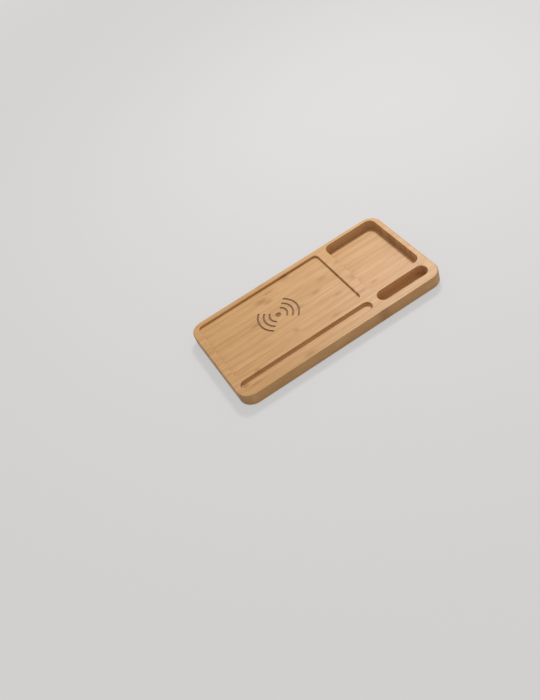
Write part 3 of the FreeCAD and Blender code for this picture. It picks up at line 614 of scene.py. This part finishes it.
metal_finish("screw_zinc", (0.66, 0.66, 0.64, 1), (0.50, 0.51, 0.53, 1),
             streak=(3, 3, 3), rough=0.24).on("cover_screws", "board_screws")
metal_finish("inlet_nickel", (0.72, 0.71, 0.69, 1), (0.58, 0.57, 0.55, 1),
             streak=(8, 0.5, 8), rough=0.18).on("inlet_shell")
metal_finish("contact_gold_flash", (0.90, 0.66, 0.28, 1), (0.78, 0.54, 0.22, 1),
             streak=(12, 1, 12), rough=0.2).on("inlet_contacts")
metal_finish("solder_tin", (0.76, 0.76, 0.77, 1), (0.60, 0.60, 0.61, 1),
             streak=(4, 4, 4), rough=0.16).on("lead_joints")
print("metals on screws, inlet and solder joints")

# %% [markdown]
# ## The transmitter coil's route
# The coil is wound flat from a twisted bundle of enamelled strands. A smooth spline is laid along its
# route: up from one pad, under the shield to its open middle, round and round, and down to the other
# pad. Its control points take their places from the boxes of the shield, the pads and the coil's node,
# so they follow the frame. A point of the spiral lies a little outside the wire, because a spline cuts
# inside its corners.

# %% Coil route
WIRE = 0.60           # across the bundle
TURN_PITCH = 1.05     # from one turn to the next
INNER_RADIUS = 10.5
HALF_TURNS = 21
POINTS_PER_TURN = 24
LEAD_DROP = 0.60      # from the shield's underside down to the lead
LEAD_BEND = 3.0
LEAD_CURL = 4.0       # from the lead's end to the first turn
RISE_OFF = 1.0        # the lead rises this far in front of the shield's middle
START_OFF = 2.4       # and ends this far behind it
SPLINE_STEPS = 7


def in_mm(node):
    return [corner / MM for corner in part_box(node)]


def coil_route():
    """The spline's control points in millimetres, from the inner pad to the outer one."""
    shield, pads, wire = in_mm("ferrite_plate"), in_mm("lead_joints"), in_mm("transmitter_coil")
    middle = (shield[0] + shield[1]) / 2
    pad_y, pad_top, pad_radius = (pads[0].y + pads[1].y) / 2, pads[1].z, (pads[1].y - pads[0].y) / 2
    inner_x, outer_x = pads[0].x + pad_radius, pads[1].x - pad_radius
    level, under = wire[1].z - WIRE / 2, shield[0].z - LEAD_DROP
    rise_y, start_y = middle.y - RISE_OFF, middle.y + START_OFF
    inner_lead = [(inner_x, pad_y, pad_top), (inner_x, pad_y, under),
                  (inner_x, pad_y - LEAD_BEND, under), (inner_x, middle.y + LEAD_BEND, under),
                  (inner_x, rise_y, under), (inner_x, rise_y, level),
                  (inner_x, start_y, level), (inner_x - LEAD_CURL, start_y, level)]
    spiral = []
    step = 2 * math.pi / POINTS_PER_TURN
    for number in range(HALF_TURNS * POINTS_PER_TURN // 2):
        reach = (INNER_RADIUS + TURN_PITCH * number / POINTS_PER_TURN) / math.cos(step / 2)
        angle = math.pi + step * number
        spiral.append((middle.x + reach * math.cos(angle), middle.y + reach * math.sin(angle), level))
    outer_lead = [(outer_x, middle.y, level), (outer_x, pad_y - LEAD_BEND, level),
                  (outer_x, pad_y, level), (outer_x, pad_y, level - LEAD_BEND),
                  (outer_x, pad_y, pad_top)]
    return inner_lead + spiral + outer_lead


def smooth_points(route):
    """Points along the spline through a route, in metres."""
    data = bpy.data.curves.new("route", "CURVE")
    data.dimensions, data.resolution_u = "3D", SPLINE_STEPS
    spline = data.splines.new("NURBS")
    spline.points.add(len(route) - 1)
    for point, place in zip(spline.points, route):
        point.co = (*(Vector(place) * MM), 1)
    spline.order_u, spline.use_endpoint_u = 3, True
    holder = bpy.data.objects.new("route", data)
    mesh = bpy.data.meshes.new_from_object(holder)
    points = [vert.co.copy() for vert in mesh.vertices]
    bpy.data.objects.remove(holder)
    bpy.data.curves.remove(data)
    bpy.data.meshes.remove(mesh)
    return points


coil_points = smooth_points(coil_route())
coil_length = sum((b - a).length for a, b in zip(coil_points, coil_points[1:]))
print("coil:", len(coil_points), "points,", round(coil_length / MM), "mm of wire")

# %% [markdown]
# ## The coil's bundle of strands
# A round bevel on the spline would give a plain wire. Instead the spline's points are read back, and a
# section with a lobe for each strand is carried along them, turning as it goes. The section's side is
# turned from each direction into the next, so that the twist is only the one that is wanted.

# %% Coil bundle
STRANDS = 6
LAY = 8.0             # the length of one full twist
LOBE = ((-0.5, 0.74), (-0.2, 0.99), (0.2, 0.99))   # shares of a strand's angle and of the radius


def bundle_mesh(name, points):
    """A closed tube with one lobe for each strand, twisted once in every lay."""
    section = [(2 * math.pi * (strand + share) / STRANDS, reach * WIRE / 2)
               for strand in range(STRANDS) for share, reach in LOBE]
    verts, travelled = [], 0.0
    along = (points[1] - points[0]).normalized()
    side = along.orthogonal().normalized()
    for number, point in enumerate(points):
        before, after = points[max(number - 1, 0)], points[min(number + 1, len(points) - 1)]
        ahead = (after - before).normalized()
        side = along.rotation_difference(ahead) @ side
        along, over = ahead, ahead.cross(side)
        travelled += (point - before).length
        twist = 2 * math.pi * travelled / (LAY * MM)
        verts += [point + (side * math.cos(a + twist) + over * math.sin(a + twist)) * reach * MM
                  for a, reach in section]
    count = len(section)
    faces = [tuple(range(count))[::-1], tuple(range(len(verts) - count, len(verts)))]
    for start in range(0, len(verts) - count, count):
        for a in range(count):
            b = (a + 1) % count
            faces.append((start + a, start + b, start + count + b, start + count + a))
    mesh = bpy.data.meshes.new(name)
    mesh.from_pydata(verts, [], faces)
    mesh.polygons.foreach_set("use_smooth", [True] * len(faces))
    return mesh


def add_piece(mesh, slot, *finishes):
    """A new piece on the root body, with its finishes in the order of its faces' material numbers."""
    for finish in finishes:
        mesh.materials.append(finish.material)
    piece = bpy.data.objects.new(mesh.name, mesh)
    bpy.context.scene.collection.objects.link(piece)
    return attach(piece, "root")


enamel = metal_finish("coil_enamelled_copper", (0.80, 0.38, 0.17, 1), (0.62, 0.25, 0.10, 1),
                      streak=(1.5, 1.5, 1.5), rough=0.24)
enamel.surface(Coat_Weight=0.5, Coat_Roughness=0.12)
winding = add_piece(bundle_mesh("coil_winding", coil_points), "copper_wire", enamel)
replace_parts(winding, "transmitter_coil")
print("coil_winding:", len(winding.data.polygons), "faces")

# %% [markdown]
# ## The board, the shield and the tape
# Under the tray lie a disc of pale tape, the shield of sintered ferrite and a green board with its
# components. The board's mask is thin, so the copper tracks under it show as lighter green lines. They
# lie in lanes along both axes; a random number for each stretch of a lane says if it has a track.

# %% Board, shield and tape
TRACK_LANE = 1.1
TRACK_RUN = 7.0
TRACK_EDGE = (0.14, 0.20)
RUN_SHIFT = 50.0
LANE_STEP = 37.0
BARE_SHARE = 0.58
LANE_SEEDS = (11.0, 503.0)
MASK_DARK = (0.010, 0.072, 0.030, 1)
MASK_LIGHT = (0.014, 0.090, 0.038, 1)
TRACK_GREEN = (0.026, 0.135, 0.054, 1)


def board_tracks(f, along, across, seed):
    """1 on the tracks that run along one axis."""
    lane = f.math("DIVIDE", across, TRACK_LANE)
    number = f.math("FLOOR", lane)
    start = f.random(f.math("ADD", number, seed))[0]
    run = f.math("FLOOR", f.math("MULTIPLY_ADD", start, RUN_SHIFT, f.math("DIVIDE", along, TRACK_RUN)))
    laid = f.random(f.math("MULTIPLY_ADD", number, LANE_STEP, f.math("ADD", run, seed)))[1]
    off = f.math("ABSOLUTE", f.math("SUBTRACT", f.math("FRACT", lane), 0.5))
    on_track = f.span(off, *TRACK_EDGE, 1.0, 0.0)
    return f.math("MULTIPLY", on_track, f.math("GREATER_THAN", laid, BARE_SHARE))


def board_finish():
    f = Finish("board_green_mask")
    where = f.place()
    x, y = f.split(where)[:2]
    long_seed, cross_seed = LANE_SEEDS
    track = f.math("MAXIMUM", board_tracks(f, x, y, long_seed), board_tracks(f, y, x, cross_seed))
    weave = f.noise(f.stretch(where, 4.0, 4.0, 4.0), 2.0)
    mask = f.mix(f.span(weave, 0.3, 0.7), MASK_DARK, MASK_LIGHT)
    f.surface(Base_Color=f.mix(track, mask, TRACK_GREEN), Roughness=f.span(weave, 0.3, 0.7, 0.3, 0.42))
    f.relief(track, 0.03)
    return f


board_finish().on("circuit_board")
mottled_finish("shield_ferrite", (0.045, 0.044, 0.046, 1), (0.080, 0.079, 0.082, 1),
               grain_mm=0.25, relief_mm=0.02, rough=0.62).on("ferrite_plate")
mottled_finish("tape_pale_film", (0.72, 0.70, 0.62, 1), (0.80, 0.78, 0.70, 1),
               grain_mm=0.8, relief_mm=0.02, rough=0.55).on("coil_tape")
print("board, shield and tape finished")

# %% [markdown]
# ## Components on the board
# Every component is a small package: a ceramic block with tinned ends, a resistor with a black glaze
# on white ceramic, or a moulded chip with its legs or pads. The frame has a plain box for each, and one
# node holds a whole row. So the boxes are read from the row's mesh, by joining the corners that lie at
# the same place: corners that share a face belong to one solid.

# %% Boxes of a row
def loose_boxes(name):
    """The lowest and highest corner of each solid in a row, in millimetres."""
    owner = {}

    def first(corner):
        while owner[corner] != corner:
            corner = owner[corner]
        return corner

    mesh = nodes[name].data
    for face in mesh.polygons:
        corners = [tuple(round(v / MM, 3) for v in mesh.vertices[i].co) for i in face.vertices]
        for corner in corners:
            owner.setdefault(corner, corner)
            owner[first(corner)] = first(corners[0])
    solids = {}
    for corner in owner:
        solids.setdefault(first(corner), []).append(corner)
    return [[Vector(map(pick, zip(*corners))) for pick in (min, max)] for corners in solids.values()]


print("boxes in the resonant row:", len(loose_boxes("resonant_capacitors")))

# %% [markdown]
# ## Rounded blocks and bent legs
# Two shapes make all the packages. A block is a cube that is stretched between two corners and whose
# edges are bevelled, because no moulded or fired body has a sharp edge. A leg is a flat strip that is
# carried along a path. Both are added to one bmesh, with a number for the finish of their faces.

# %% Blocks and legs
BODY, METAL, GLAZE = 0, 1, 2


def add_block(shape, low, high, number, rounding):
    """A box between two corners in millimetres, with rounded edges."""
    old = set(shape.faces)
    corners = bmesh.ops.create_cube(shape, size=1.0)["verts"]
    for vert in corners:
        vert.co = Vector(l + (c + 0.5) * (h - l) for l, c, h in zip(low, vert.co, high)) * MM
    edges = list(dict.fromkeys(edge for vert in corners for edge in vert.link_edges))
    bmesh.ops.bevel(shape, geom=edges, offset=rounding * MM, segments=2, profile=0.5, affect="EDGES")
    for face in set(shape.faces) - old:
        face.material_index = number


def add_leg(shape, x, width, path, thickness):
    """A strip bent along a path of (y, z) points, in millimetres."""
    path = [Vector(p) for p in path]
    rings = []
    for number, point in enumerate(path):
        ahead = path[min(number + 1, len(path) - 1)] - path[max(number - 1, 0)]
        off = Vector((-ahead.y, ahead.x)).normalized() * thickness / 2
        rings.append([shape.verts.new(Vector((x + side * width / 2, *(point + way * off))) * MM)
                      for side, way in ((-1, -1), (1, -1), (1, 1), (-1, 1))])
    faces = [shape.faces.new(rings[0][::-1]), shape.faces.new(rings[-1])]
    for one, two in zip(rings, rings[1:]):
        faces += [shape.faces.new((one[a], one[a - 3], two[a - 3], two[a])) for a in range(4)]
    for face in faces:
        face.material_index = METAL


print("finishes of a package:", dict(body=BODY, metal=METAL, glaze=GLAZE))

# %% [markdown]
# ## Packages with tinned ends
# A ceramic capacitor is a body with a tinned cap at each end of its longer side. The caps are dipped,
# so they stand a little proud of the body. A resistor is the same in white, with a film of black glaze
# on top between the caps.

# %% Capacitors and resistors
CAP_SHARE = 0.22
CAP_PROUD = 0.05
CAP_ROUND, CERAMIC_ROUND = 0.08, 0.04
GLAZE_PROUD, GLAZE_SINK = 0.03, 0.10    # above the caps, and from its top down into the body
GLAZE_SIDE = 0.06
GLAZE_END_SHARE = 0.2
GLAZE_ROUND = 0.03


def long_axis(low, high):
    return 0 if high.x - low.x > high.y - low.y else 1


def ceramic_block(shape, low, high):
    """A ceramic body and, at both ends of its longer side, a tinned cap."""
    axis = long_axis(low, high)
    cap = CAP_SHARE * (high[axis] - low[axis])
    inset = Vector((CAP_PROUD, CAP_PROUD, CAP_PROUD))
    inset[axis] = cap / 2
    add_block(shape, low + inset, high - inset, BODY, CERAMIC_ROUND)
    for end in (0, 1):
        cap_low, cap_high = low.copy(), high.copy()
        cap_low[axis] = (low[axis], high[axis] - cap)[end]
        cap_high[axis] = (low[axis] + cap, high[axis])[end]
        add_block(shape, cap_low, cap_high, METAL, CAP_ROUND)


def glazed_resistor(shape, low, high):
    """As a capacitor, with a film of black glaze on top between the caps."""
    ceramic_block(shape, low, high - Vector((0, 0, GLAZE_PROUD)))
    axis = long_axis(low, high)
    inset = Vector((GLAZE_SIDE, GLAZE_SIDE, 0))
    inset[axis] = GLAZE_END_SHARE * (high[axis] - low[axis])
    film_low = Vector((*low.xy, high.z - GLAZE_SINK))
    add_block(shape, film_low + inset, high - inset, GLAZE, GLAZE_ROUND)


print("caps take", CAP_SHARE, "of a block's length at each end")

# %% [markdown]
# ## Chips
# The transistors and the regulator are moulded chips on bent legs: flat on the board, up a slope, and
# into the body at half its height. The control chip has no legs. Its pads stand flush along its four
# lower edges, so from above only their ends show.

# %% Chips
LEG_SHARE, LEG_SPARE = 0.10, 0.1     # a leg's reach: a share of the package's depth, and a little more
LEG_SOLE, LEG_WAIST = 0.07, 0.45     # height of its sole, and of its upper end as a share
LEG_TIP = 0.02
LEG_KNEES = (0.45, 0.75, 1.3)        # its two bends and its end in the body, in shares of its reach
LEG_THICKNESS = 0.13
CHIP_GAP, CHIP_ROUND = 0.05, 0.06
PAD_HEIGHT, PAD_DEPTH, PAD_ROUND = 0.22, 0.4, 0.02
PAD_PROUD, FLAT_LIFT, FLAT_ROUND = 0.03, 0.02, 0.05


def legged_chip(shape, low, high, near, far, pitch, width):
    """A moulded chip with a row of bent legs at its front and at its back."""
    reach = LEG_SHARE * (high.y - low.y) + LEG_SPARE
    sole, waist = low.z + LEG_SOLE, low.z + LEG_WAIST * (high.z - low.z)
    add_block(shape, low + Vector((CHIP_GAP, reach, CHIP_GAP)), high - Vector((CHIP_GAP, reach, 0)),
              BODY, CHIP_ROUND)
    for count, edge, way in ((near, low.y, 1), (far, high.y, -1)):
        knees = [edge + way * share * reach for share in LEG_KNEES]
        path = list(zip((edge + way * LEG_TIP, *knees), (sole, sole, waist, waist)))
        for number in range(count):
            x = (low.x + high.x) / 2 + (number - (count - 1) / 2) * pitch
            add_leg(shape, x, width, path, LEG_THICKNESS)


def flat_chip(shape, low, high, count, pitch, width):
    """A chip without legs: small tinned pads stand flush along its four lower edges."""
    add_block(shape, low + Vector((PAD_PROUD, PAD_PROUD, FLAT_LIFT)),
              high - Vector((PAD_PROUD, PAD_PROUD, 0)), BODY, FLAT_ROUND)
    middle = (low + high) / 2
    for axis in (0, 1):
        for end in (0, 1):
            for number in range(count):
                pad_low, pad_high = low.copy(), low + Vector((0, 0, PAD_HEIGHT))
                along = middle[1 - axis] + (number - (count - 1) / 2) * pitch
                pad_low[1 - axis], pad_high[1 - axis] = along - width / 2, along + width / 2
                pad_low[axis] = (low[axis], high[axis] - PAD_DEPTH)[end]
                pad_high[axis] = (low[axis] + PAD_DEPTH, high[axis])[end]
                add_block(shape, pad_low, pad_high, METAL, PAD_ROUND)


print("legs are", LEG_THICKNESS, "mm thick")

# %% [markdown]
# ## Component finishes
# Capacitors are fired tan, resistors white with a black glaze, and chips are moulded in black epoxy. A
# finish could be made anew for every row. These few are made once and shared, as a maker would buy the
# components alike.

# %% Component finishes
tan = mottled_finish("capacitor_tan_ceramic", (0.30, 0.20, 0.11, 1), (0.40, 0.28, 0.17, 1),
                     grain_mm=0.15, relief_mm=0.005, rough=0.45)
white = mottled_finish("resistor_white_ceramic", (0.66, 0.66, 0.63, 1), (0.74, 0.74, 0.72, 1),
                       grain_mm=0.15, relief_mm=0.005, rough=0.55)
glaze = mottled_finish("resistor_black_glaze", (0.012, 0.012, 0.013, 1), (0.024, 0.024, 0.025, 1),
                       grain_mm=0.2, relief_mm=0.005, rough=0.3)
epoxy = mottled_finish("chip_black_epoxy", (0.016, 0.016, 0.017, 1), (0.030, 0.030, 0.031, 1),
                       grain_mm=0.12, relief_mm=0.008, rough=0.6)
tin = metal_finish("component_tin", (0.74, 0.74, 0.73, 1), (0.60, 0.60, 0.60, 1),
                   streak=(5, 5, 5), rough=0.22)
print("component finishes:", ", ".join(f.material.name for f in (tan, white, glaze, epoxy, tin)))

# %% [markdown]
# ## Soldering the rows
# Each row is now filled, box by box, into one mesh that stands for the row's node. A table says which
# package a row takes, with its counts of legs or pads, their pitch and their width, and which finishes.

# %% Solder the rows
ROWS = {
    "input_capacitors": ("capacitor_ceramic", ceramic_block, (), (tan, tin)),
    "ceramic_capacitors": ("capacitor_ceramic", ceramic_block, (), (tan, tin)),
    "resonant_capacitors": ("capacitor_ceramic", ceramic_block, (), (tan, tin)),
    "sense_resistor": ("resistor_body", glazed_resistor, (), (white, tin, glaze)),
    "chip_resistors": ("resistor_body", glazed_resistor, (), (white, tin, glaze)),
    "bridge_transistors": ("chip_plastic", legged_chip, (4, 4, 1.27, 0.45), (epoxy, tin)),
    "voltage_regulator": ("chip_plastic", legged_chip, (3, 2, 0.95, 0.40), (epoxy, tin)),
    "control_chip": ("chip_plastic", flat_chip, (10, 0.5, 0.25), (epoxy, tin)),
}


def solder_row(name, slot, package, details, finishes):
    shape = bmesh.new()
    for low, high in loose_boxes(name):
        package(shape, low, high, *details)
    bmesh.ops.recalc_face_normals(shape, faces=shape.faces)
    mesh = bpy.data.meshes.new(f"soldered_{name}")
    shape.to_mesh(mesh)
    shape.free()
    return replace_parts(add_piece(mesh, slot, *finishes), name)


for name, row in ROWS.items():
    piece = solder_row(name, *row)
    print(f"{piece.name}: {len(piece.data.polygons)} faces")

# %% [markdown]

# %% [markdown]
# ## Finish
